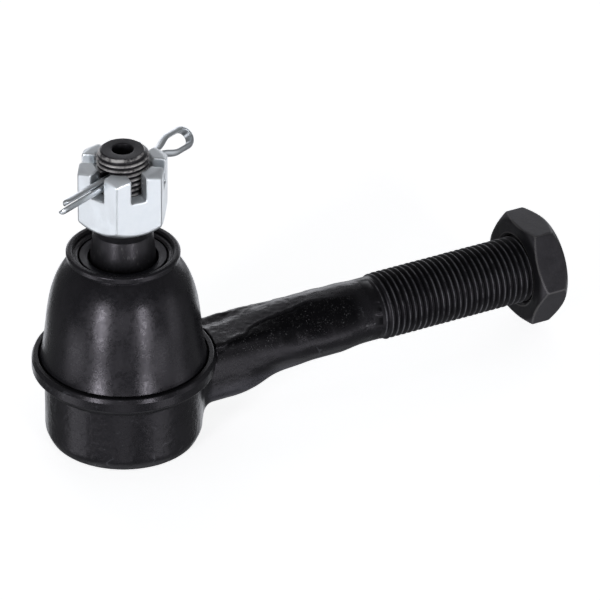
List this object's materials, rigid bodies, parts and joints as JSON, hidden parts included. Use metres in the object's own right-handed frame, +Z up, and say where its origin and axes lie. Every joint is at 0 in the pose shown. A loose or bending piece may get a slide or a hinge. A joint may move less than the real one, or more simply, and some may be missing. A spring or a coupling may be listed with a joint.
{
  "type": "tie rod end",
  "caption": "Outer steering tie rod end: cylindrical ball joint housing with a threaded shank and jam nut, rubber dust boot, tapered ball stud, castle nut and cotter pin.",
  "frame": {"origin": "centre of the housing's flat underside, on the ball stud's axis", "axes": "+Z up along the ball stud's axis, +X along the threaded shank away from the housing, right-handed"},
  "size_m": [0.133, 0.042, 0.0745],
  "materials": {
    "painted_forging": "satin black paint over a forged and turned surface",
    "phosphated_steel": "dark phosphate with worn bright thread crests",
    "bright_zinc": "bright zinc plate",
    "black_nut": "matte black oxide",
    "boot_rubber": "semi-matte moulded rubber",
    "neck_liner": "smooth dark lip",
    "acetal": "moulded acetal",
    "spring_steel": "oiled spring steel"
  },
  "bodies": {
    "housing_body": {"housing": "painted_forging", "end_cover": "painted_forging", "boot_retaining_ring": "painted_forging", "upper_ball_seat": "acetal", "lower_ball_seat": "acetal", "preload_spring": "spring_steel"},
    "boot_body": {"dust_boot": "boot_rubber"},
    "neck_body": {"boot_neck_ring": "neck_liner"},
    "stud_body": {"ball_stud": "phosphated_steel", "castle_nut": "bright_zinc", "cotter_pin": "bright_zinc"},
    "jam_nut_body": {"jam_nut": "black_nut"}
  },
  "joints": [
    {"name": "stud_tilt_fore_aft", "type": "hinge", "parent": "housing_body", "child": "boot_body", "pos_m": [0, 0, 0.0151], "axis": [0, 1, 0], "range_deg": [-20, 20], "deforming": ["dust_boot"]},
    {"name": "stud_tilt_sideways", "type": "hinge", "parent": "boot_body", "child": "neck_body", "pos_m": [0, 0, 0.0151], "axis": [1, 0, 0], "range_deg": [-20, 20], "deforming": ["dust_boot"]},
    {"name": "stud_spin", "type": "hinge", "parent": "neck_body", "child": "stud_body", "pos_m": [0, 0, 0.0151], "axis": [0, 0, 1], "continuous": true},
    {"name": "jam_nut_turn", "type": "hinge", "parent": "housing_body", "child": "jam_nut_body", "pos_m": [0.1033, 0, 0.0151], "axis": [1, 0, 0], "continuous": true}
  ]
}
